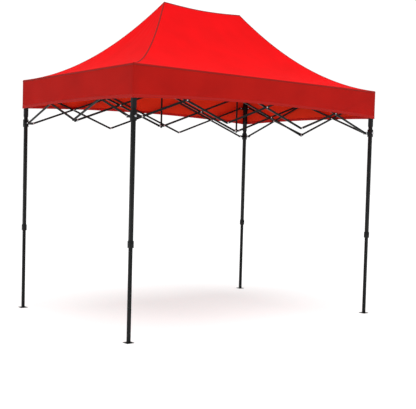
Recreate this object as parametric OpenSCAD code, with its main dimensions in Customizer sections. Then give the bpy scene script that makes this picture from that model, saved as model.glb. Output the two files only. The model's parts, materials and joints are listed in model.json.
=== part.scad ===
// Pop up canopy, 3 by 2 m nominal: a folding scissor frame on four telescopic
// legs, with a ridge truss, two roof poles and a sewn roof with valances.
// Millimetres, +Z up, origin on the ground at the centre of the plan.
// Long side along X. Corners are front left, front right, back left, back right.

/* [Scissor trusses] */
// Bar length between its end pivots
bar_len = 970; // [960:5:1020]
// Width of one scissor cell when open
cell = 910; // [880:5:930]
// Height of a bar's section
bar_h = 18; // [14:1:20]
// Thickness of a bar across the truss
bar_t = 10; // [8:1:10]
// Wall of a bar's tube
bar_wall = 1; // [0.8:0.1:1.5]
// Radius of every pivot pin and rivet
pin_r = 4; // [3:0.5:4.5]

/* [Legs] */
// Outside of the upper leg's square tube
leg_w = 30; // [30:1:32]
// Wall of both leg tubes
leg_wall = 1.2; // [1:0.1:1.3]
// Outside of the lower leg's square tube
lower_w = 25; // [22:1:25]
// Height of the upper leg's lower end above the ground
upper_bottom = 790; // [700:10:900]
// Length of lower tube held inside the upper tube
leg_overlap = 200; // [150:10:240]
// Height of the top pivots above the ground
top_z = 2190; // [2100:10:2250]
// Distance from a leg's axis to the pivots beside it
corner_off = 76; // [74:1:84]
// Side of the square foot plate
foot_w = 70; // [64:1:90]
// Thickness of the foot plate
foot_t = 4; // [3:0.5:6]
// Radius of the two peg holes in a foot plate
peg_r = 5; // [4:0.5:5]

/* [Roof] */
// Height of the eaves
eave_z = 2280; // [2275:5:2300]
// Height of the two peaks
peak_z = 3050; // [2900:10:3150]
// Depth of the valance at a corner
valance = 280; // [200:10:320]
// Share of the valance's depth cut away at the middle of a long side
arch_long = 0.16; // [0:0.02:0.4]
// Share of the valance's depth cut away at the middle of a short side
arch_short = 0.06; // [0:0.02:0.4]
// How straight the roof's slope is, 1 straight and 0 fully curved
roof_straight = 0.2; // [0.1:0.05:1]
// Distance from a leg's axis to the cloth
cloth_off = 26; // [24:1:30]
// Thickness of the cloth's solid
cloth_t = 1; // [0.8:0.1:1.5]

/* [Hidden] */
$fn = 48;
// fits of a bar's three pivots: it carries the rivet, turns on one, or hangs loose on one
RIVET = "rivet";
TURN = "turn";
LOOSE = "loose";
turn_gap = 0.05;
loose_gap = 0.3;
layer_y = 5.75;                       // middle of a bar's layer from the truss plane
truss_drop = sqrt(bar_len * bar_len - cell * cell);
bar_tilt = acos(cell / bar_len);
low_z = top_z - truss_drop;
half_x = (3 * cell + 2 * corner_off) / 2;
half_y = (2 * cell + 2 * corner_off) / 2;
tee_off = 28;                         // ridge pivot from the short truss plane
hub_off = corner_off / 2 - tee_off / 2; // ridge pivot from a pole's axis
hub_x = cell / 2 + hub_off;
ear_gap = 0.45;                       // side play of a bar between a connector's ears
ear_t = 3.8;                          // thickness of an ear
ear_in = layer_y + bar_t / 2 + ear_gap; // inner face of a connector's ears
ear_out = ear_in + ear_t;
bush_gap = 0.35;                      // between a connector's bush and the bar beside it
ear_reach = bar_h / 2 + 2;            // ear beyond its pivot
ear_h = 2 * ear_reach;
bush_r = bar_h / 2 - 1;
head_r = pin_r + 3.5;
head_t = 2.2;
pole_r = 9;
pole_wall = 1.5;
sleeve_gap = 0.5;
sleeve_wall = 5;
sleeve_w = leg_w + 2 * (sleeve_gap + sleeve_wall);
slider_h = 74;
boss_t = 6;                           // boss that guides a slider's pull pin
bracket_w = leg_w + 8;
bracket_h = 96;
guard_w = leg_w + 6;                  // long sleeve below the bracket
guard_bottom = low_z + slider_h / 2 + 28; // where the sleeve ends, clear of the slider
gusset = 12;                          // web between bracket and ears
button_t = 4;
tee_plate = 3;
tee_rim = 6;                          // tee plate above and below its ears
hub_web = 6;                          // half width of a hub's cross web
hub_rim = 12;                         // top hub's core above and below its ears
ring_r = 1.6;                         // section radius of a pull pin's ring
disc_t = 4;                           // pull pin's disc
hole_step = 60;                       // between the height holes of a lower leg
holes = 8;
bracket_top = 8;                      // bracket above the leg's top
leg_top = top_z + 72;
collar_h = 58;
collar_lip = 8;
collar_w = leg_w + 8;
knob_r = 10;
tip_r = 20;
tip_drop = 42;                        // centre of the tip ball below the peak
cloth_x = half_x + cloth_off;
cloth_y = half_y + cloth_off;
seam_gap = 0.6;                       // between panels along hips and ridge
apex_half = 0.5;                      // half width of a pointed panel's tip
roof_t = 1.5 * cloth_t;               // cloth measured straight down on the roof
across = 20;                          // mesh steps along an eave
up = 10;                              // mesh steps from eave to ridge
down = 3;                             // mesh steps down the valance
black = "#26282a";
plastic = "#1b1c1e";
steel = "#b9bcc0";
red = "#f0161e";

// corner: [name, x sign, y sign]
CORNERS = [["fl", -1, -1], ["fr", 1, -1], ["bl", -1, 1], ["br", 1, 1]];
// truss: [name, [x, y] of its first pivot, direction, cells]
TRUSSES = [
    ["front", [-half_x + corner_off, -half_y], 0],
    ["back", [-half_x + corner_off, half_y], 0],
    ["left", [-half_x, -half_y + corner_off], 90],
    ["right", [half_x, -half_y + corner_off], 90],
    ["ridge", [-half_x + tee_off, 0], 0],
];
// bar: [truss, cell, falls or rises, fits at start, middle and end]
long_fits = [
    [1, "down", [TURN, RIVET, RIVET]], [1, "up", [TURN, TURN, LOOSE]],
    [2, "down", [RIVET, RIVET, RIVET]], [2, "up", [TURN, TURN, TURN]],
    [3, "down", [RIVET, RIVET, TURN]], [3, "up", [LOOSE, TURN, TURN]],
];
back_fits = [
    [1, "down", [TURN, RIVET, RIVET]], [1, "up", [LOOSE, TURN, LOOSE]],
    [2, "down", [RIVET, RIVET, RIVET]], [2, "up", [TURN, TURN, LOOSE]],
    [3, "down", [RIVET, RIVET, LOOSE]], [3, "up", [LOOSE, TURN, TURN]],
];
short_fits = [
    [1, "down", [TURN, RIVET, TURN]], [1, "up", [LOOSE, TURN, TURN]],
    [2, "down", [LOOSE, RIVET, TURN]], [2, "up", [LOOSE, TURN, TURN]],
];
ridge_fits = [
    [1, "down", [TURN, RIVET, TURN]], [1, "up", [LOOSE, TURN, TURN]],
    [2, "down", [TURN, RIVET, LOOSE]], [2, "up", [LOOSE, TURN, LOOSE]],
    [3, "down", [TURN, RIVET, LOOSE]], [3, "up", [TURN, TURN, TURN]],
];
FITS = [long_fits, back_fits, short_fits, short_fits, ridge_fits];
BARS = [for (t = [0:4]) for (f = FITS[t]) [str(TRUSSES[t][0], "_bar_", f[1], "_", f[0]), t, f[0], f[1], f[2]]];
// panel: [name, turn about Z, half eave, centre to eave, half ridge, centre to ridge, arch of the hem]
PANELS = [
    ["roof_front", 0, cloth_x, cloth_y, hub_x, 0, arch_long],
    ["roof_right", 90, cloth_y, cloth_x, 0, hub_x, arch_short],
    ["roof_back", 180, cloth_x, cloth_y, hub_x, 0, arch_long],
    ["roof_left", 270, cloth_y, cloth_x, 0, hub_x, arch_short],
];
SIDES = [["left", 1], ["right", -1]];
HUBS = [["left", -1], ["right", 1]];

// ---- helpers ----

module square_tube(width, wall, z0, z1)
    difference() {
        translate([-width / 2, -width / 2, z0]) cube([width, width, z1 - z0]);
        translate([-width / 2 + wall, -width / 2 + wall, z0 - 1])
            cube([width - 2 * wall, width - 2 * wall, z1 - z0 + 2]);
    }

// a round bar along Y from y0 to y1
module along_y(r, y0, y1) translate([0, y1, 0]) rotate([90, 0, 0]) cylinder(r = r, h = y1 - y0);

module at_corner(c) translate([c[1] * half_x, c[2] * half_y, 0]) children();

// turns a corner's two connector arms along its two trusses
module two_arms(c) {
    rotate([0, 0, c[1] < 0 ? 0 : 180]) children();
    rotate([0, 0, c[2] < 0 ? 90 : -90]) children();
}

// two ears, a pin and a bush for one bar end: the bar's layer is layer * layer_y
module ears(from, pivot, layer) {
    for (s = [-1, 1]) translate([0, s > 0 ? ear_in : -ear_out, 0]) {
        translate([from, 0, -ear_h / 2]) cube([pivot - from, ear_out - ear_in, ear_h]);
        translate([pivot, 0, 0]) along_y(ear_reach, 0, ear_out - ear_in);
    }
    translate([pivot, 0, 0]) {
        along_y(pin_r, -ear_out - head_t, ear_out + head_t);
        for (s = [-1, 1]) along_y(head_r, s > 0 ? ear_out : -ear_out - head_t, s > 0 ? ear_out + head_t : -ear_out);
        along_y(bush_r, layer > 0 ? -ear_in : bush_gap, layer > 0 ? -bush_gap : ear_in);
    }
}

// ---- legs ----

module upper_leg(c) at_corner(c) {
    color(black) square_tube(leg_w, leg_wall, upper_bottom, leg_top);
    color(plastic) difference() {
        translate([-collar_w / 2, -collar_w / 2, upper_bottom - collar_lip])
            cube([collar_w, collar_w, collar_h]);
        translate([-leg_w / 2 - turn_gap, -leg_w / 2 - turn_gap, upper_bottom - turn_gap])
            cube([leg_w + 2 * turn_gap, leg_w + 2 * turn_gap, collar_h]);
        translate([-lower_w / 2 - loose_gap, -lower_w / 2 - loose_gap, upper_bottom - collar_lip - 1])
            cube([lower_w + 2 * loose_gap, lower_w + 2 * loose_gap, collar_h]);
    }
    // height lock button on the outer side
    color(steel) translate([0, 0, upper_bottom + collar_h / 2 - collar_lip / 2])
        along_y(pin_r + 1, c[2] < 0 ? -collar_w / 2 - button_t : collar_w / 2, c[2] < 0 ? -collar_w / 2 : collar_w / 2 + button_t);
}

module lower_leg(c) at_corner(c) color(black) {
    difference() {
        square_tube(lower_w, leg_wall, foot_t, upper_bottom + leg_overlap);
        // height holes in the outer side
        for (i = [1:holes]) translate([0, c[2] * lower_w / 2, upper_bottom - 40 - i * hole_step])
            along_y(pin_r, -2 * leg_wall, 2 * leg_wall);
    }
    difference() {
        translate([0, 0, foot_t / 2]) cube([foot_w, foot_w, foot_t], center = true);
        for (s = [-1, 1]) translate([s * (foot_w / 2 - 11), 0, -1]) cylinder(r = peg_r, h = foot_t + 2);
    }
}

module corner_bracket(c) at_corner(c) color(plastic) {
    difference() {
        union() {
            translate([-bracket_w / 2, -bracket_w / 2, leg_top + bracket_top - bracket_h])
                cube([bracket_w, bracket_w, bracket_h]);
            translate([-guard_w / 2, -guard_w / 2, guard_bottom])
                cube([guard_w, guard_w, leg_top - guard_bottom]);
        }
        translate([-leg_w / 2, -leg_w / 2, guard_bottom - 1])
            cube([leg_w, leg_w, leg_top - guard_bottom + 1]);
    }
    translate([0, 0, top_z]) two_arms(c) {
        ears(bracket_w / 2 - 1, corner_off, 1);
        for (s = [-1, 1]) translate([bracket_w / 2 - 1, s > 0 ? ear_in : -ear_out, -ear_h])
            cube([gusset, ear_out - ear_in, 2 * ear_h]);
    }
}

module slider(c) at_corner(c) translate([0, 0, low_z]) {
    hole_w = leg_w + 2 * sleeve_gap;
    color(plastic) difference() {
        union() {
            translate([-sleeve_w / 2, -sleeve_w / 2, -slider_h / 2]) cube([sleeve_w, sleeve_w, slider_h]);
            translate([0, c[2] * sleeve_w / 2, 0]) along_y(knob_r, c[2] < 0 ? -boss_t : 0, c[2] < 0 ? 0 : boss_t);
        }
        translate([-hole_w / 2, -hole_w / 2, -slider_h / 2 - 1]) cube([hole_w, hole_w, slider_h + 2]);
        along_y(pin_r + turn_gap, c[2] < 0 ? -sleeve_w : 0, c[2] < 0 ? 0 : sleeve_w);
    }
    color(plastic) two_arms(c) ears(sleeve_w / 2 - 1, corner_off, -1);
}

module pull_pin(c) at_corner(c) translate([0, 0, low_z]) color(steel) {
    inner = leg_w / 2 + loose_gap;
    face = sleeve_w / 2 + boss_t + loose_gap;
    mirror([0, c[2] < 0 ? 1 : 0, 0]) {
        along_y(pin_r, inner, face + 1);
        along_y(knob_r - 1, face, face + disc_t);
        translate([0, face + disc_t + knob_r - 2 * ring_r, 0]) rotate([0, 90, 0])
            rotate_extrude() translate([knob_r - ring_r, 0]) circle(r = ring_r, $fn = 24);
    }
}

// ---- scissor bars ----

module bar_body() {
    difference() {
        union() {
            translate([0, -bar_t / 2, -bar_h / 2]) cube([bar_len, bar_t, bar_h]);
            for (x = [0, bar_len]) translate([x, 0, 0]) along_y(bar_h / 2, -bar_t / 2, bar_t / 2);
        }
        translate([-bar_h, -bar_t / 2 + bar_wall, -bar_h / 2 + bar_wall])
            cube([bar_len + 2 * bar_h, bar_t - 2 * bar_wall, bar_h - 2 * bar_wall]);
    }
}

// a bar along +X with its fits; other is +1 or -1, the way to the bar that it crosses
module fitted_bar(fits, other) {
    at = [0, bar_len / 2, bar_len];
    far = other * (2 * layer_y + bar_t / 2 + loose_gap);
    near = -other * bar_t / 2;
    difference() {
        bar_body();
        for (i = [0:2]) if (fits[i] != RIVET) translate([at[i], 0, 0])
            along_y(pin_r + (fits[i] == TURN ? turn_gap : loose_gap), -bar_t, bar_t);
    }
    for (i = [0:2]) if (fits[i] == RIVET) translate([at[i], 0, 0]) {
        along_y(pin_r, min(near, far), max(near, far));
        along_y(head_r, min(far, far + other * head_t), max(far, far + other * head_t));
        along_y(head_r, min(near, near - other * head_t), max(near, near - other * head_t));
    }
}

module scissor_bar(b) {
    t = TRUSSES[b[1]];
    falls = b[3] == "down";
    ridge_gap = t[0] == "ridge" ? (b[2] - 1) * 2 * hub_off : 0;
    translate([t[1][0], t[1][1], 0]) rotate([0, 0, t[2]])
        translate([(b[2] - 1) * cell + ridge_gap, falls ? layer_y : -layer_y, falls ? top_z : low_z])
            rotate([0, falls ? bar_tilt : -bar_tilt, 0])
                color(black) fitted_bar(b[4], falls ? -1 : 1);
}

// ---- connectors of the ridge truss ----

// layer +1 at the top and -1 at the bottom
module tee(s, z, layer) translate([-s[1] * half_x, 0, z]) rotate([0, 0, s[1] > 0 ? 0 : 180]) color(plastic) {
    translate([ear_in, -ear_out, -ear_reach - tee_rim]) cube([tee_plate, 2 * ear_out, ear_h + 2 * tee_rim]);
    rotate([0, 0, -90]) {
        along_y(pin_r, -ear_out, ear_in + 1);
        along_y(head_r, -ear_out, -ear_in);
    }
    ears(ear_in, tee_off, layer);
}

module hub_ears(layer) for (a = [0, 180]) rotate([0, 0, a]) ears(0, hub_off, layer);

module top_hub(h) translate([h[1] * hub_x, 0, top_z]) color(plastic) {
    core_r = hub_off - bar_h / 2 - 1;
    difference() {
        union() {
            cylinder(r = core_r, h = ear_h + 2 * hub_rim, center = true);
            translate([-hub_web, -ear_out, -ear_reach]) cube([2 * hub_web, 2 * ear_out, ear_h]);
            hub_ears(1);
        }
        cylinder(r = pole_r + loose_gap, h = 3 * ear_h, center = true);
    }
}

// the bottom hub with the pole welded into it
module roof_pole(h) translate([h[1] * hub_x, 0, 0]) {
    color(black) translate([0, 0, low_z - ear_h]) difference() {
        cylinder(r = pole_r, h = peak_z - tip_drop - low_z + ear_h);
        translate([0, 0, ear_h + ear_reach + 1]) cylinder(r = pole_r - pole_wall, h = peak_z);
    }
    color(plastic) translate([0, 0, low_z]) {
        translate([-hub_web - 2, -ear_out, -ear_reach]) cube([2 * hub_web + 4, 2 * ear_out, ear_h]);
        hub_ears(-1);
    }
}

module pole_tip(h) translate([h[1] * hub_x, 0, peak_z - tip_drop]) color(steel) difference() {
    union() {
        sphere(r = tip_r);
        translate([0, 0, -34]) cylinder(r = pole_r + 3, h = 34);
    }
    translate([0, 0, -60]) cylinder(r = pole_r, h = 60);
}

// ---- cloth ----

function rise(s) = s * (roof_straight + (1 - roof_straight) * s);
function hem(u, arch) = eave_z - valance * (1 - arch * (1 - pow(2 * u - 1, 2)));

// one point of a panel, row 0 at the hem, row down at the eave, inside 0 or 1
function cloth_point(p, i, j, inside) =
    let (u = i / across,
         s = max(0, (j - down) / up),
         v = min(1, j / down),
         half = max(p[2] + (p[4] - p[2]) * s - seam_gap - (s == 0 ? cloth_t : 0), apex_half),
         z = j < down ? hem(u, p[6]) + (eave_z - hem(u, p[6])) * v : eave_z + (peak_z - eave_z) * rise(s),
         y = p[3] + (p[5] - p[3]) * s + (s == 1 ? seam_gap + apex_half : 0))
    [(2 * u - 1) * half, -y + (s == 0 ? inside * cloth_t : 0), z - (j >= down ? inside * roof_t : 0)];

module cloth_panel(p) {
    rows = up + down;
    wide = across + 1;
    layer = wide * (rows + 1);
    points = [for (k = [0, 1]) for (j = [0:rows]) for (i = [0:across]) cloth_point(p, i, j, k)];
    outer = [for (j = [0:rows - 1]) for (i = [0:across - 1]) let (a = j * wide + i)
        each [[a, a + wide + 1, a + 1], [a, a + wide, a + wide + 1]]];
    inner = [for (f = outer) [f[0] + layer, f[2] + layer, f[1] + layer]];
    ends = [for (j = [0:rows - 1]) let (a = j * wide, b = a + across)
        each [[a, a + layer, a + wide + layer], [a, a + wide + layer, a + wide],
              [b, b + wide, b + wide + layer], [b, b + wide + layer, b + layer]]];
    hems = [for (i = [0:across - 1]) let (a = i, b = rows * wide + i)
        each [[a, a + 1, a + 1 + layer], [a, a + 1 + layer, a + layer],
              [b, b + layer, b + 1 + layer], [b, b + 1 + layer, b + 1]]];
    color(red) rotate([0, 0, p[1]]) polyhedron(points = points, faces = concat(outer, inner, ends, hems));
}

// ---- the assembly ----

for (c = CORNERS) {
    upper_leg(c);
    lower_leg(c);
    corner_bracket(c);
    slider(c);
    pull_pin(c);
}
for (b = BARS) scissor_bar(b);
for (s = SIDES) {
    tee(s, top_z, 1);
    tee(s, low_z, -1);
}
for (h = HUBS) {
    top_hub(h);
    roof_pole(h);
    pole_tip(h);
}
for (p = PANELS) cloth_panel(p);
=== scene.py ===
"""Pop up canopy: sewn polyester roof and valances over a black folding frame.

The frame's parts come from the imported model. This script bevels and finishes them, and adds the
cloth, its seams and hems, the bars' end plugs, the rivets and the bolts. Metres, +Z up.
"""
import json
import math
from types import SimpleNamespace

import bmesh
import bpy
from mathutils import Matrix, Vector


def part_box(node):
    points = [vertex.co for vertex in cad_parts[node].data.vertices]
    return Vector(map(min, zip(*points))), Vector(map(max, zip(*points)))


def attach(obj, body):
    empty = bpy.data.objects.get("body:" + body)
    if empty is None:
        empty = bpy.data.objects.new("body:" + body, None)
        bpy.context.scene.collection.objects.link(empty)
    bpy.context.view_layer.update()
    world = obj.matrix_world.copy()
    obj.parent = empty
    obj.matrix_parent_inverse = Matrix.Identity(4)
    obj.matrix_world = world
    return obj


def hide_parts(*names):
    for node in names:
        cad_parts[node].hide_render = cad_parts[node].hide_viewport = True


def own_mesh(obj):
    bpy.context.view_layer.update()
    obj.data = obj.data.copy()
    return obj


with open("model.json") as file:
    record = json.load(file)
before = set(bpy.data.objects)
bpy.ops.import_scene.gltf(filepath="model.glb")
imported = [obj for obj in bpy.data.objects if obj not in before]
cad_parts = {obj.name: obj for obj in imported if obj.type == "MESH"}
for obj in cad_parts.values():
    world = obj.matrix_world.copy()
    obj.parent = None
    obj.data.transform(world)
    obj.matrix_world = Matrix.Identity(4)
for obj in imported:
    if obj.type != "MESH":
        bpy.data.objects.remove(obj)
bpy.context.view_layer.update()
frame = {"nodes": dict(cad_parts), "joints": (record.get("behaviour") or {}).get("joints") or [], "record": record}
JOINTS = {j["name"]: j for j in frame["joints"]}
BODY_OF = {n: b for b, ns in frame["record"]["behaviour"]["bodies"].items() for n in ns}
SLOT_OF = {s["node"]: s["material_slot"] for s in frame["record"]["subparts"]}
FOOT = {m["name"][-2:]: m["pos_m"] for m in frame["record"]["mounts"] if m["name"].startswith("foot_face")}

# ---- sizes of the frame and the roof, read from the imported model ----
EAVE_Z = JOINTS["roof_front_drop"]["pos_m"][2]
CLOTH_X = JOINTS["roof_right_drop"]["pos_m"][0]
CLOTH_Y = JOINTS["roof_back_drop"]["pos_m"][1]
PEAK_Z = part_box("roof_front")[1].z
HEM_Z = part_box("roof_front")[0].z
VALANCE_H = EAVE_Z - HEM_Z              # at the corners
HUB_X = sum(p.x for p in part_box("pole_tip_right")) / 2
TOP_Z = JOINTS["frame_fold"]["pos_m"][2]
LOW_Z = JOINTS["front_slider_start"]["pos_m"][2]
HALF_X, HALF_Y = FOOT["br"][0], FOOT["br"][1]
CELL = JOINTS["front_node_low_1"]["pos_m"][0] - JOINTS["frame_fold"]["pos_m"][0]
CORNER_REACH = JOINTS["frame_fold"]["pos_m"][0] + HALF_X        # leg's axis to a truss's end pivot
TEE_REACH = JOINTS["ridge_tee_start"]["pos_m"][0] + HALF_X      # the same at the ridge truss's tees
HUB_REACH = JOINTS["ridge_hub_left_out"]["pos_m"][0] + HUB_X    # pole's axis to a hub's pivot

# ---- how much a cell of the frame closes, which is how much the eaves gather ----
BAR_LEN = math.hypot(CELL, TOP_Z - LOW_Z)
BAR_TILT = math.atan2(TOP_Z - LOW_Z, CELL)
FOLD = math.radians(JOINTS["frame_fold"]["range_deg"][1])
CLOSED_BY = CELL - BAR_LEN * math.cos(BAR_TILT + FOLD)
LONG_CELLS, SHORT_CELLS = 3, 2

# ---- the cloth ----
CLOTH_THICK = 0.0009
STRAIGHT = 0.2                          # how straight the roof's slope is, as in the CAD panels
PANEL_SAG, RIDGE_SAG = 0.020, 0.022
RAY_H, RAY_REACH, RAYS = 0.0045, 0.28, 13               # drag lines under the peaks
PULL_H, PULL_UP, PULL_IN, PULLS = 0.0038, 0.22, 0.16, 26        # drag lines at the corners
PUCKER_H, PUCKER_REACH, PUCKERS = 0.0012, 0.05, 23      # small gathers along the eave
DRIFT_H = 0.004                         # slow unevenness of a whole panel
SLOW_WAVE, SLOW_PER_M = 0.00288, 1.9    # how the valance hangs
FAST_WAVE, FAST_PER_M = 0.00168, 5.3
VALANCE_LEAN = 0.003
ROOF_ROWS, VALANCE_ROWS = 72, 16

# ---- seams and hems: width, thickness, and how far their faces stand off the cloth ----
HEM_W, HEM_THICK, HEM_OUT = 0.028, 0.0034, 0.0012
HEM_DIP = 0.001                         # how far a hem passes the valance's edge, as a share of its height
SEAM_W, SEAM_THICK, SEAM_OUT, RIDGE_OUT = 0.014, 0.0016, 0.0022, 0.0024
EAVE_SEAM_TOP, EAVE_SEAM_H = 0.005, 0.012               # below the eave
EAVE_SEAM_THICK, EAVE_SEAM_OUT = 0.002, 0.0013
ACROSS_SEAM = (-1, -0.5, 0, 0.5, 1)
HIP_SHARE, RIDGE_SHARE = 0.62, 0.36     # of the seam's width, laid along the eave's way and up the slope
STITCH, STITCH_SHARE, STITCH_ROW, THREAD_HALF = 0.0045, 0.72, 0.2, 0.0007

# ---- bar ends, rivets and bolts ----
LAYER = 0.00575                         # middle of a bar's layer from its truss's plane
PLUG_R = 0.0094                         # a bar's round end, and a hair more
PLUG_SIDE, PLUG_HALF_H = 0.00388, 0.0078                # the hollow that the plug fills
PIN_CLEAR = 0.0046                      # clear of the pivot pin
RIVET_FRONT, RIVET_BACK = 0.01295, -0.01325             # a rivet's heads from the truss plane
BOLT_OUT = 0.01720                      # a connector's pin head from the truss plane
DOME = [(0.0079, 0.0), (0.0079, 0.0009), (0.0074, 0.0021),
        (0.0060, 0.0032), (0.0038, 0.0038), (0.0014, 0.0040)]   # radius and height
BAR_BEVEL, PART_BEVEL = 0.0012, 0.0009

# ---- light, floor and camera ----
AMBIENT, BACKDROP = 0.45, 1.05
SUN_POWER, SUN_SPREAD = 2.3, 50
SUN_FROM = Vector((-0.8, -1.3, 5))
FLOOR_HALF, FLOOR_Z = 40, -0.0005
CAMERA_AT = (-5.065, -6.592, 1.429)     # off the near left corner, a little below eye height
CAMERA_YAW, CAMERA_PITCH, CAMERA_ROLL = 37.69, -2.91, 1.5
CAMERA_LENS, CAMERA_SHIFT = 70.8, (0.019, 0.018)


# ======================= materials =======================

def node(tree, kind, **values):
    """A node with its inputs, by socket name, and its own settings."""
    new = tree.nodes.new(kind)
    for key, value in values.items():
        if key in new.inputs:
            new.inputs[key].default_value = value
        else:
            setattr(new, key, value)
    return new


def new_material(name, **inputs):
    """A material, its tree, and its Principled shader with these inputs."""
    mat = bpy.data.materials.new(name)
    mat.use_nodes = True
    tree = mat.node_tree
    tree.nodes.clear()
    body = node(tree, "ShaderNodeBsdfPrincipled", **inputs)
    out = tree.nodes.new("ShaderNodeOutputMaterial")
    tree.links.new(body.outputs[0], out.inputs["Surface"])
    return mat, tree, body


def texture(tree, kind, **values):
    """A texture in the piece's own space."""
    new = node(tree, kind, **values)
    space = tree.nodes.get("Texture Coordinate") or tree.nodes.new("ShaderNodeTexCoord")
    tree.links.new(space.outputs["Object"], new.inputs["Vector"])
    return new


def maths(tree, operation, *values):
    """A maths node over outputs and numbers."""
    new = node(tree, "ShaderNodeMath", operation=operation)
    for socket, value in zip(new.inputs, values):
        if isinstance(value, (int, float)):
            socket.default_value = value
        else:
            tree.links.new(value, socket)
    return new.outputs[0]


def ranged(tree, value, limits):
    """The value in new limits, by socket name."""
    new = node(tree, "ShaderNodeMapRange", **limits)
    tree.links.new(value, new.inputs["Value"])
    return new.outputs["Result"]


def between(tree, share, first, second):
    """A colour between two."""
    mix = node(tree, "ShaderNodeMix", data_type="RGBA")
    mix.inputs["A"].default_value = (*first, 1)
    mix.inputs["B"].default_value = (*second, 1)
    tree.links.new(share, mix.inputs["Factor"])
    return mix.outputs["Result"]


def ramp(tree, value, stops):
    """A colour from these (place, colour) stops."""
    new = tree.nodes.new("ShaderNodeValToRGB")
    while len(new.color_ramp.elements) < len(stops):
        new.color_ramp.elements.new(0.5)
    for stop, (place, colour) in zip(new.color_ramp.elements, stops):
        stop.position = place
        stop.color = (*colour, 1)
    tree.links.new(value, new.inputs["Fac"])
    return new.outputs["Color"]


def bump(tree, height, strength, distance, under=None):
    """A bumped normal, over another one if given."""
    new = node(tree, "ShaderNodeBump", Strength=strength, Distance=distance)
    tree.links.new(height, new.inputs["Height"])
    if under is not None:
        tree.links.new(under, new.inputs["Normal"])
    return new.outputs["Normal"]


def cloth_material(name, colour, dark, glow, through):
    """Coated polyester: woven bump, faint slubs, a little gloss, and light that comes through."""
    mat, tree, body = new_material(name, **{"Sheen Weight": 0.01, "Sheen Roughness": 0.5,
                                            "Specular IOR Level": 0.07, "IOR": 1.45})
    link = tree.links.new
    behind = node(tree, "ShaderNodeBsdfTranslucent", Color=(*glow, 1))
    mix = node(tree, "ShaderNodeMixShader", Fac=through)
    link(body.outputs[0], mix.inputs[1])
    link(behind.outputs[0], mix.inputs[2])
    link(mix.outputs[0], tree.nodes["Material Output"].inputs["Surface"])
    broad = texture(tree, "ShaderNodeTexNoise", Scale=3.0, Detail=3.0, Roughness=0.5)
    fine = texture(tree, "ShaderNodeTexNoise", Scale=420.0, Detail=2.0, Roughness=0.6)
    weave = texture(tree, "ShaderNodeTexVoronoi", Scale=900.0, distance="CHEBYCHEV")
    shade = ranged(tree, broad.outputs["Fac"], {"From Min": 0.3, "From Max": 0.62})
    link(between(tree, shade, dark, colour), body.inputs["Base Color"])
    rough = ranged(tree, fine.outputs["Fac"], {"To Min": 0.56, "To Max": 0.74})
    link(rough, body.inputs["Roughness"])
    woven = bump(tree, weave.outputs["Distance"], 0.35, 0.0004)
    link(bump(tree, fine.outputs["Fac"], 0.15, 0.0006, woven), body.inputs["Normal"])
    return mat


def stitched_material(name, colour, thread, width):
    """Folded seam cloth with two rows of lock stitches; UV is metres along and 0 to 1 across."""
    mat, tree, body = new_material(name, Roughness=0.68, **{"Sheen Weight": 0.02, "Specular IOR Level": 0.12})
    link = tree.links.new
    uv = node(tree, "ShaderNodeUVMap", uv_map="seam")
    split = tree.nodes.new("ShaderNodeSeparateXYZ")
    link(uv.outputs["UV"], split.inputs["Vector"])
    along = maths(tree, "FRACT", maths(tree, "MULTIPLY", split.outputs["X"], 1 / STITCH))
    across = maths(tree, "PINGPONG", split.outputs["Y"], 0.5)
    on_stitch = maths(tree, "LESS_THAN", along, STITCH_SHARE)
    on_row = maths(tree, "COMPARE", across, STITCH_ROW, THREAD_HALF / width)
    stitch = maths(tree, "MULTIPLY", on_stitch, on_row)
    link(between(tree, stitch, colour, thread), body.inputs["Base Color"])
    pucker = texture(tree, "ShaderNodeTexNoise", Scale=160.0, Detail=2.0)
    crumpled = bump(tree, pucker.outputs["Fac"], 0.3, 0.001)
    link(bump(tree, stitch, 0.8, 0.0008, crumpled), body.inputs["Normal"])
    return mat


def coat_material(name, colour, worn, roughness, grain):
    """Powder coat or moulded nylon: fine peel, slightly uneven gloss, paler worn patches."""
    mat, tree, body = new_material(name, **{"Specular IOR Level": 0.18})
    scuff = texture(tree, "ShaderNodeTexNoise", Scale=14.0, Detail=6.0, Roughness=0.7)
    peel = texture(tree, "ShaderNodeTexNoise", Scale=grain, Detail=2.0, Roughness=0.5)
    tone = ramp(tree, scuff.outputs["Fac"], [(0.0, colour), (0.62, colour), (0.8, worn)])
    tree.links.new(tone, body.inputs["Base Color"])
    rough = ranged(tree, scuff.outputs["Fac"], {"To Min": roughness - 0.07, "To Max": roughness + 0.1})
    tree.links.new(rough, body.inputs["Roughness"])
    tree.links.new(bump(tree, peel.outputs["Fac"], 0.22, 0.0004), body.inputs["Normal"])
    return mat


def metal_material(name, colour, dull):
    """Zinc plate: drawn lines and patchy dulling."""
    mat, tree, body = new_material(name, Metallic=1.0)
    patch = texture(tree, "ShaderNodeTexNoise", Scale=60.0, Detail=4.0)
    lines = texture(tree, "ShaderNodeTexNoise", Scale=900.0, Detail=2.0)
    tone = ramp(tree, patch.outputs["Fac"], [(0.35, dull), (0.65, colour)])
    tree.links.new(tone, body.inputs["Base Color"])
    rough = ranged(tree, patch.outputs["Fac"], {"To Min": 0.24, "To Max": 0.42})
    tree.links.new(rough, body.inputs["Roughness"])
    tree.links.new(bump(tree, lines.outputs["Fac"], 0.15, 0.0002), body.inputs["Normal"])
    return mat


def floor_material():
    """Matt and pale, with enough light of its own to match the backdrop."""
    white = (1, 1, 1, 1)
    return new_material("pale_floor", Roughness=0.9, **{"Base Color": (0.5, 0.5, 0.5, 1),
                                                        "Emission Color": white,
                                                        "Emission Strength": 0.6})[0]


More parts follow.
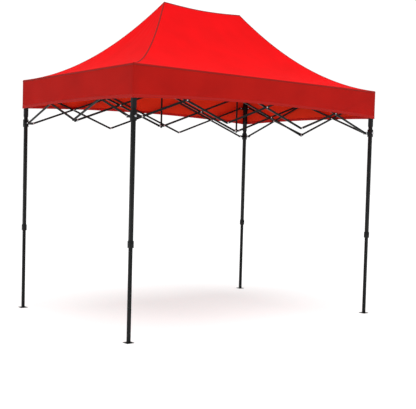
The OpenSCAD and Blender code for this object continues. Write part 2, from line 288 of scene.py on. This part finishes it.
CLOTH = cloth_material("red_polyester", (0.98, 0.0025, 0.006), (0.90, 0.0025, 0.005),
                       (0.98, 0.09, 0.025), 0.22)
# Painted shade: the valance is the roof's cloth, given a darker base colour because its upright faces stand in
# shade.
VALANCE_PAINTED_SHADE = cloth_material("red_valance_painted_shade", (0.52, 0.013, 0.009), (0.46, 0.011, 0.008),
                         (0.90, 0.09, 0.025), 0.22)
# Painted light: the inner faces get a paler, more orange red, standing in for light shining through the cloth and
# bouncing up from the floor.
INSIDE_PAINTED_LIGHT = cloth_material("red_inside_painted_light", (0.74, 0.046, 0.015), (0.66, 0.040, 0.013),
                        (0.95, 0.10, 0.03), 0.3)
TRIM = stitched_material("red_seam", (0.34, 0.012, 0.008), (0.16, 0.03, 0.02), SEAM_W)
# Painted shade: the hem's red and its thread are darkened like the valance they are sewn to.
HEM_PAINTED_SHADE = stitched_material("red_hem_painted_shade", (0.46, 0.011, 0.008), (0.24, 0.02, 0.015), HEM_W)
STEEL = coat_material("black_powder_coat", (0.006, 0.007, 0.007), (0.02, 0.021, 0.022), 0.40, 700.0)
PLASTIC = coat_material("black_nylon", (0.005, 0.005, 0.006), (0.012, 0.012, 0.013), 0.50, 420.0)
ZINC = metal_material("zinc_plate", (0.72, 0.73, 0.75), (0.48, 0.49, 0.51))
MATERIAL_OF = {"frame_steel": STEEL, "black_plastic": PLASTIC, "plated_steel": ZINC}


# ======================= mesh helpers =======================

def shares(steps):
    """0 to 1 in even steps."""
    return [k / steps for k in range(steps + 1)]


def make_object(name, verts, faces, material, slot=None, smooth=True):
    mesh = bpy.data.meshes.new(name)
    mesh.from_pydata([tuple(v) for v in verts], [], faces)
    mesh.update()
    ob = bpy.data.objects.new(name, mesh)
    bpy.context.scene.collection.objects.link(ob)
    mesh.materials.append(material)
    mesh.polygons.foreach_set("use_smooth", [smooth] * len(mesh.polygons))
    return ob


def baked(ob):
    """Puts the object's modifiers into its mesh."""
    graph = bpy.context.evaluated_depsgraph_get()
    mesh = bpy.data.meshes.new_from_object(ob.evaluated_get(graph))
    ob.modifiers.clear()
    ob.data = mesh
    return ob


def joined(parts):
    """The verts and faces of several (verts, faces) pairs."""
    verts, faces = [], []
    for more_verts, more_faces in parts:
        faces += [tuple(i + len(verts) for i in face) for face in more_faces]
        verts += more_verts
    return verts, faces


def grid_sheet(name, rows, material, thickness, seam_uv=None, inside=None):
    """A closed thin sheet through rows of points; thickness goes inwards, against the normals."""
    wide = len(rows[0])
    verts = [p for row in rows for p in row]
    faces = []
    for first in range(0, (len(rows) - 1) * wide, wide):
        for a in range(first, first + wide - 1):
            faces.append((a, a + 1, a + wide + 1, a + wide))
    ob = make_object(name, verts, faces, material, "cloth")
    if seam_uv:
        layer = ob.data.uv_layers.new(name="seam")
        for loop in ob.data.loops:
            layer.data[loop.index].uv = seam_uv[loop.vertex_index]
    thick = ob.modifiers.new("thick", "SOLIDIFY")
    thick.thickness = thickness
    thick.offset = -1
    # Inner faces take the inside material, whose orange colour is painted light through the cloth.
    if inside:
        ob.data.materials.append(inside)
        thick.material_offset = 1
    return baked(ob)


def lathe(profile, turns=20):
    """Verts and faces of a closed round form about +Z from (radius, height) pairs."""
    verts, faces = [], []
    for r, z in profile:
        for k in range(turns):
            a = 2 * math.pi * k / turns
            verts.append(Vector((r * math.cos(a), r * math.sin(a), z)))
    for j in range(len(profile) - 1):
        for k in range(turns):
            a, b = j * turns + k, j * turns + (k + 1) % turns
            faces.append((a, b, b + turns, a + turns))
    faces.append(tuple(reversed(range(turns))))
    last = (len(profile) - 1) * turns
    faces.append(tuple(range(last, last + turns)))
    return verts, faces


def area_of(rows):
    """Area of the surface through rows of points."""
    total = 0
    for lower, upper in zip(rows, rows[1:]):
        for i in range(len(lower) - 1):
            a, b, c, d = lower[i], lower[i + 1], upper[i + 1], upper[i]
            total += ((b - a).cross(c - a).length + (c - a).cross(d - a).length) / 2
    return total


def path_length(points):
    return sum((b - a).length for a, b in zip(points, points[1:]))


# ======================= the cloth =======================

# What the two long sides share, and what the two short ones share. Each side is described as if it were
# the front one, then turned about Z. Its phases shift its folds, so that no two sides hang alike.
LONG = {
    "long": True, "half_eave": CLOTH_X, "eave_depth": CLOTH_Y, "half_ridge": HUB_X, "ridge_depth": 0,
    "along": (1, 0, 0), "keep": (2 * CLOTH_X - LONG_CELLS * CLOSED_BY) / (2 * CLOTH_X),
    "arch": 0.16, "roof_steps": 150, "hem_steps": 200,
}
SHORT = {
    "long": False, "half_eave": CLOTH_Y, "eave_depth": CLOTH_X, "half_ridge": 0, "ridge_depth": HUB_X,
    "along": (0, 1, 0), "keep": (2 * CLOTH_Y - SHORT_CELLS * CLOSED_BY) / (2 * CLOTH_Y),
    "arch": 0.06, "roof_steps": 110, "hem_steps": 140,
}
SIDES = {
    "front": SimpleNamespace(turn=0, holder="leg_fl", roof_phase=0.3, hang_phase=0.0, **LONG),
    "right": SimpleNamespace(turn=90, holder="leg_fr", roof_phase=1.7, hang_phase=1.1, **SHORT),
    "back": SimpleNamespace(turn=180, holder="leg_bl", roof_phase=2.9, hang_phase=2.3, **LONG),
    "left": SimpleNamespace(turn=270, holder="leg_fl", roof_phase=4.1, hang_phase=3.7, **SHORT),
}
NEXT_SIDE = {("front", 0): "left", ("front", 1): "right", ("back", 0): "right", ("back", 1): "left"}


def turned(point, degrees):
    return Matrix.Rotation(math.radians(degrees), 3, "Z") @ point


def folds(side, u, s):
    """Height of the cloth above its plain form, u along the eave and s from eave to ridge."""
    phase = SIDES[side].roof_phase
    inside = math.sin(math.pi * u)
    middle = math.sin(math.pi * s)
    belly = -PANEL_SAG * inside * middle * (1 - 0.35 * s)
    ridge = -RIDGE_SAG * inside * s ** 3 if SIDES[side].long else 0.0
    near_peak = math.exp(-((1 - s) / RAY_REACH) ** 2) * math.sin(math.pi * min(1, 2 * (1 - s)) / 2)
    rays = RAY_H * near_peak * math.sin(RAYS * math.pi * u + phase) * inside
    near_end = math.exp(-(u / PULL_IN)) + math.exp(-((1 - u) / PULL_IN))
    near_corner = math.exp(-(s / PULL_UP) ** 2) * near_end
    pull = PULL_H * near_corner * math.sin(PULLS * (u + 0.55 * s) + phase) * inside ** 0.5
    puckers = PUCKER_H * math.exp(-(s / PUCKER_REACH)) * math.sin(2 * math.pi * PUCKERS * u + phase) * inside
    drift = DRIFT_H * inside * middle * math.sin(3.1 * math.pi * u + 5 * s + phase)
    return belly + ridge + rays + pull * min(1, s * 12) + puckers * min(1, s * 30) + drift


def roof_point(side, u, s, lift=0.0):
    form = SIDES[side]
    half = form.half_eave + (form.half_ridge - form.half_eave) * s
    depth = form.eave_depth + (form.ridge_depth - form.eave_depth) * s
    rise = s * (STRAIGHT + (1 - STRAIGHT) * s)
    z = EAVE_Z + (PEAK_Z - EAVE_Z) * rise + folds(side, u, s) + lift
    return turned(Vector(((2 * u - 1) * half, -depth, z)), form.turn)


def valance_point(side, u, v, out=0.0):
    """v is 0 at the hem, which arches up between the corners, and 1 at the eave."""
    form = SIDES[side]
    hang = (1 - v) * math.sin(math.pi * u) ** 0.6
    around = 2 * math.pi * form.half_eave * u
    wave = SLOW_WAVE * hang * math.sin(SLOW_PER_M * around + form.hang_phase + 0.8 * v)
    wave += FAST_WAVE * hang * math.sin(FAST_PER_M * around + 2 * form.hang_phase)
    hem = EAVE_Z - VALANCE_H * (1 - form.arch * (1 - (2 * u - 1) ** 2))
    z = hem + (EAVE_Z - hem) * v
    depth = form.eave_depth + wave - VALANCE_LEAN * hang + out
    return turned(Vector(((2 * u - 1) * form.half_eave, -depth, z)), form.turn)


def valance_lines(side, places, steps, out=0.0):
    """Lines of points along the valance, at these shares of its height."""
    return [[valance_point(side, u, v, out) for u in shares(steps)] for v in places]


def fold_with(piece, body):
    """The piece rides on a body."""
    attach(piece, body)
    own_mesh(piece)


def build_roof(side):
    """One roof panel, its flat size and its area."""
    steps = SIDES[side].roof_steps
    rows = [[roof_point(side, u, s) for u in shares(steps)] for s in shares(ROOF_ROWS)]
    # The panel's inner faces carry painted light through the cloth.
    panel = grid_sheet(f"roof_{side}_cloth", rows, CLOTH, CLOTH_THICK, inside=INSIDE_PAINTED_LIGHT)
    fold_with(panel, f"roof_{side}")
    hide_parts(f"roof_{side}")
    slope = path_length([row[steps // 2] for row in rows])
    return panel, (2 * SIDES[side].half_eave, slope), area_of(rows)


def build_valance(side):
    """One valance, its flat size and its area."""
    rows = valance_lines(side, shares(VALANCE_ROWS), SIDES[side].hem_steps)
    # The valance's darker red is painted shade.
    cloth = grid_sheet(f"valance_{side}", rows, VALANCE_PAINTED_SHADE, CLOTH_THICK, inside=INSIDE_PAINTED_LIGHT)
    fold_with(cloth, SIDES[side].holder)
    return cloth, (2 * SIDES[side].half_eave, VALANCE_H), area_of(rows)


def strip(name, body, lines, material, thickness):
    """A sewn strip through matching lines of points."""
    uv = []
    for line, across in zip(lines, shares(len(lines) - 1)):
        along = 0.0
        for before, point in zip(line[:1] + line, line):
            along += (point - before).length
            uv.append((along, across))
    piece = grid_sheet(name, lines, material, thickness, seam_uv=uv)
    fold_with(piece, body)
    return piece


def hem_strip(side):
    places = [HEM_W * share / VALANCE_H - HEM_DIP for share in shares(3)]
    lines = valance_lines(side, places, SIDES[side].hem_steps, HEM_OUT)
    # The hem's dark red is painted shade.
    return strip(f"hem_{side}", SIDES[side].holder, lines, HEM_PAINTED_SHADE, HEM_THICK)


def eave_strip(side):
    """The seam that joins roof and valance, folded down over the valance's top."""
    places = [1 - (EAVE_SEAM_TOP + EAVE_SEAM_H * (1 - share)) / VALANCE_H for share in shares(3)]
    lines = valance_lines(side, places, 160, EAVE_SEAM_OUT)
    return strip(f"eave_seam_{side}", SIDES[side].holder, lines, TRIM, EAVE_SEAM_THICK)


def hip_strip(name, side, u_end):
    """A flat seam along one hip, half on this panel and half over the next."""
    lines = [[] for _ in ACROSS_SEAM]
    for s in [0.004 + 0.99 * share for share in shares(90)]:
        for line, offset in zip(lines, ACROSS_SEAM):
            on, end = (side, u_end) if offset >= 0 else (NEXT_SIDE[side, u_end], 1 - u_end)
            form = SIDES[on]
            wide = 2 * (form.half_eave + (form.half_ridge - form.half_eave) * s)
            step = min(0.4, abs(offset) * SEAM_W * HIP_SHARE / max(wide, 0.01))
            line.append(roof_point(on, step if end == 0 else 1 - step, s, SEAM_OUT))
    if u_end == 0:
        lines.reverse()
    return strip(name, f"roof_{side}", lines, TRIM, SEAM_THICK)


def ridge_strip():
    """A flat seam along the ridge, half on the front panel and half over the back one."""
    lines = []
    for offset in ACROSS_SEAM:
        s = 1 - abs(offset) * SEAM_W * RIDGE_SHARE
        if offset <= 0:
            lines.append([roof_point("front", u, s, RIDGE_OUT) for u in shares(60)])
        else:
            lines.append([roof_point("back", 1 - u, s, RIDGE_OUT) for u in shares(60)])
    return strip("ridge_seam", "roof_front", lines, TRIM, SEAM_THICK)


def build_cloth():
    trims = {side: [hem_strip(side), eave_strip(side)] for side in SIDES}
    hips = {
        "front": [hip_strip("hip_seam_fl", "front", 0), hip_strip("hip_seam_fr", "front", 1), ridge_strip()],
        "back": [hip_strip("hip_seam_br", "back", 0), hip_strip("hip_seam_bl", "back", 1)],
    }
    for side, form in SIDES.items():
        panel, flat, area = build_roof(side)
        valance, flat, area = build_valance(side)


# ======================= the frame =======================

def machined(name, bevel):
    """A CAD node again with its edges rounded, which then stands for it."""
    slot = SLOT_OF[name]
    ob = bpy.data.objects.new(f"{name}_finished", frame["nodes"][name].data.copy())
    bpy.context.scene.collection.objects.link(ob)
    bm = bmesh.new()
    bm.from_mesh(ob.data)
    bmesh.ops.remove_doubles(bm, verts=bm.verts, dist=1e-6)
    bmesh.ops.dissolve_limit(bm, angle_limit=math.radians(0.6), verts=bm.verts, edges=bm.edges)
    bm.to_mesh(ob.data)
    bm.free()
    ob.data.materials.clear()
    ob.data.materials.append(MATERIAL_OF[slot])
    edge = ob.modifiers.new("edge", "BEVEL")
    edge.width = bevel
    edge.segments = 2
    edge.limit_method = "ANGLE"
    edge.angle_limit = math.radians(40)
    baked(ob)
    ob.data.polygons.foreach_set("use_smooth", [True] * len(ob.data.polygons))
    ob.data.set_sharp_from_angle(angle=math.radians(32))
    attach(ob, BODY_OF[name])
    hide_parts(name)


def domed_heads(name, body, places):
    """Domed heads at (point, outward direction) pairs, one mesh."""
    heads = []
    for point, out in places:
        spin = Vector((0, 0, 1)).rotation_difference(out).to_matrix()
        verts, faces = lathe(DOME)
        heads.append(([spin @ p + point for p in verts], faces))
    ob = make_object(name, *joined(heads), ZINC, "plated_steel")
    ob.data.set_sharp_from_angle(angle=math.radians(50))
    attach(ob, body)


# truss: first pivot, turn about Z, and where each falling bar carries a rivet (0 start, 1 middle, 2 end)
TRUSSES = {
    "front": ((-HALF_X + CORNER_REACH, -HALF_Y, 0), 0, ((1, 2), (0, 1, 2), (0, 1))),
    "back": ((-HALF_X + CORNER_REACH, HALF_Y, 0), 0, ((1, 2), (0, 1, 2), (0, 1))),
    "left": ((-HALF_X, -HALF_Y + CORNER_REACH, 0), 90, ((1,), (1,))),
    "right": ((HALF_X, -HALF_Y + CORNER_REACH, 0), 90, ((1,), (1,))),
    "ridge": ((-HALF_X + TEE_REACH, 0, 0), 0, ((1,), (1,), (1,))),
}


def bar_plug(at, tilt, spin, end):
    """A moulded plug in the end of a bar: a slice of a disc, proud by a hair."""
    turns = [math.radians(135 + 90 * share) for share in shares(4)]
    profile = [(-PIN_CLEAR, PLUG_HALF_H)]
    profile += [(PLUG_R * math.cos(a), PLUG_R * math.sin(a)) for a in turns]
    profile += [(-PIN_CLEAR, -PLUG_HALF_H)]
    verts = []
    for y in (-PLUG_SIDE, PLUG_SIDE):
        for x, z in profile:
            p = Vector((x if end == 0 else -x, y, z))
            verts.append(spin @ (Matrix.Rotation(tilt, 3, "Y") @ p + at))
    n = len(profile)
    faces = [(k, (k + 1) % n, (k + 1) % n + n, k + n) for k in range(n)]
    faces.append(tuple(reversed(range(n))))
    faces.append(tuple(range(n, 2 * n)))
    return verts, faces


def build_cell(truss, cell, start, foot, spin, places):
    """One cell's rivet domes, on its falling bar, and the plugs in both its bars' ends."""
    domes = []
    for k in places:
        at = start + Vector((CELL * k / 2, 0, TOP_Z + (LOW_Z - TOP_Z) * k / 2))
        for y, way in ((RIVET_FRONT, 1), (RIVET_BACK, -1)):
            domes.append((foot + spin @ (at + Vector((0, y, 0))), spin @ Vector((0, way, 0))))
    domed_heads(f"{truss}_rivets_{cell}", f"{truss}_bar_down_{cell}", domes)
    for kind, layer, tilt, z0, z1 in (("down", LAYER, BAR_TILT, TOP_Z, LOW_Z),
                                      ("up", -LAYER, -BAR_TILT, LOW_Z, TOP_Z)):
        ends = [start + Vector((0, layer, z0)), start + Vector((CELL, layer, z1))]
        verts, faces = joined([bar_plug(at, tilt, spin, end) for end, at in enumerate(ends)])
        plugs = make_object(f"{truss}_plugs_{kind}_{cell}", [v + foot for v in verts], faces,
                            PLASTIC, "black_plastic", smooth=False)
        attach(plugs, f"{truss}_bar_{kind}_{cell}")


def build_bar_details():
    for truss, (origin, turn, carried) in TRUSSES.items():
        spin = Matrix.Rotation(math.radians(turn), 3, "Z")
        hub = 2 * HUB_REACH if truss == "ridge" else 0.0
        for k, places in enumerate(carried):
            start = Vector((k * (CELL + hub), 0, 0))
            build_cell(truss, k + 1, start, Vector(origin), spin, places)


def pin_heads(x, y, z, step):
    """Places for the two heads of a pin that lies along the step."""
    at = Vector((x, y, z))
    return [(at + step, step), (at - step, -step)]


def build_connector_bolts():
    """Domed pin heads on both faces of every connector's ears."""
    along_x, along_y = Vector((BOLT_OUT, 0, 0)), Vector((0, BOLT_OUT, 0))
    for corner, (x, y, _) in FOOT.items():
        pivot_x = x - math.copysign(CORNER_REACH, x)
        pivot_y = y - math.copysign(CORNER_REACH, y)
        for name, z, body in ((f"bracket_bolts_{corner}", TOP_Z, f"leg_{corner}"),
                              (f"slider_bolts_{corner}", LOW_Z, f"slider_{corner}")):
            domed_heads(name, body, pin_heads(pivot_x, y, z, along_y) + pin_heads(x, pivot_y, z, along_x))
    for side, way in (("left", -1), ("right", 1)):
        for level, z, hub in (("top", TOP_Z, "top_hub"), ("bottom", LOW_Z, "roof_pole")):
            domed_heads(f"{level}_tee_bolts_{side}", f"{level}_tee_{side}",
                        pin_heads(way * (HALF_X - TEE_REACH), 0, z, along_y))
            domed_heads(f"{level}_hub_bolts_{side}", f"{hub}_{side}",
                        pin_heads(way * HUB_X - HUB_REACH, 0, z, along_y)
                        + pin_heads(way * HUB_X + HUB_REACH, 0, z, along_y))


def build_frame():
    panels = {f"roof_{side}" for side in SIDES}
    for name in frame["nodes"]:
        if name not in panels:
            machined(name, BAR_BEVEL if "_bar_" in name or "leg" in name else PART_BEVEL)
    build_bar_details()
    build_connector_bolts()


# ======================= light, floor, camera =======================

def build_stage():
    """A floor, a white backdrop that only the camera sees, even light and one wide lamp."""
    corners = [(x * FLOOR_HALF, y * FLOOR_HALF, FLOOR_Z) for x, y in ((-1, -1), (1, -1), (1, 1), (-1, 1))]
    make_object("floor", corners, [(0, 1, 2, 3)], floor_material(), smooth=False)
    world = bpy.data.worlds.new("studio")
    bpy.context.scene.world = world
    world.use_nodes = True
    tree = world.node_tree
    ambient = tree.nodes["Background"]
    ambient.inputs["Color"].default_value = (1, 1, 1, 1)
    ambient.inputs["Strength"].default_value = AMBIENT
    backdrop = node(tree, "ShaderNodeBackground", Color=(1, 1, 1, 1), Strength=BACKDROP)
    seen = tree.nodes.new("ShaderNodeLightPath")
    mix = tree.nodes.new("ShaderNodeMixShader")
    tree.links.new(seen.outputs["Is Camera Ray"], mix.inputs[0])
    tree.links.new(ambient.outputs[0], mix.inputs[1])
    tree.links.new(backdrop.outputs[0], mix.inputs[2])
    tree.links.new(mix.outputs[0], tree.nodes["World Output"].inputs["Surface"])
    sun = bpy.data.lights.new("soft_sun", "SUN")
    sun.energy = SUN_POWER
    sun.angle = math.radians(SUN_SPREAD)
    lamp = bpy.data.objects.new("soft_sun", sun)
    bpy.context.scene.collection.objects.link(lamp)
    lamp.rotation_euler = (-SUN_FROM).to_track_quat("-Z", "Y").to_euler()


def build_camera():
    yaw, pitch, roll = (math.radians(a) for a in (CAMERA_YAW, CAMERA_PITCH, CAMERA_ROLL))
    forward = Vector((math.sin(yaw) * math.cos(pitch), math.cos(yaw) * math.cos(pitch), math.sin(pitch)))
    level = Vector((math.cos(yaw), -math.sin(yaw), 0))
    upright = level.cross(forward)
    right = level * math.cos(roll) + upright * math.sin(roll)
    up = upright * math.cos(roll) - level * math.sin(roll)
    camera = bpy.data.cameras.new("camera")
    camera.sensor_width = 36
    camera.lens = CAMERA_LENS
    camera.shift_x, camera.shift_y = CAMERA_SHIFT
    camera.clip_end = 200
    ob = bpy.data.objects.new("camera", camera)
    bpy.context.scene.collection.objects.link(ob)
    aim = Matrix((right, up, -forward)).transposed().to_4x4()
    ob.matrix_world = Matrix.Translation(CAMERA_AT) @ aim
    bpy.context.scene.camera = ob
    bpy.context.scene.view_settings.view_transform = "Standard"


build_camera()
build_stage()
build_cloth()
build_frame()
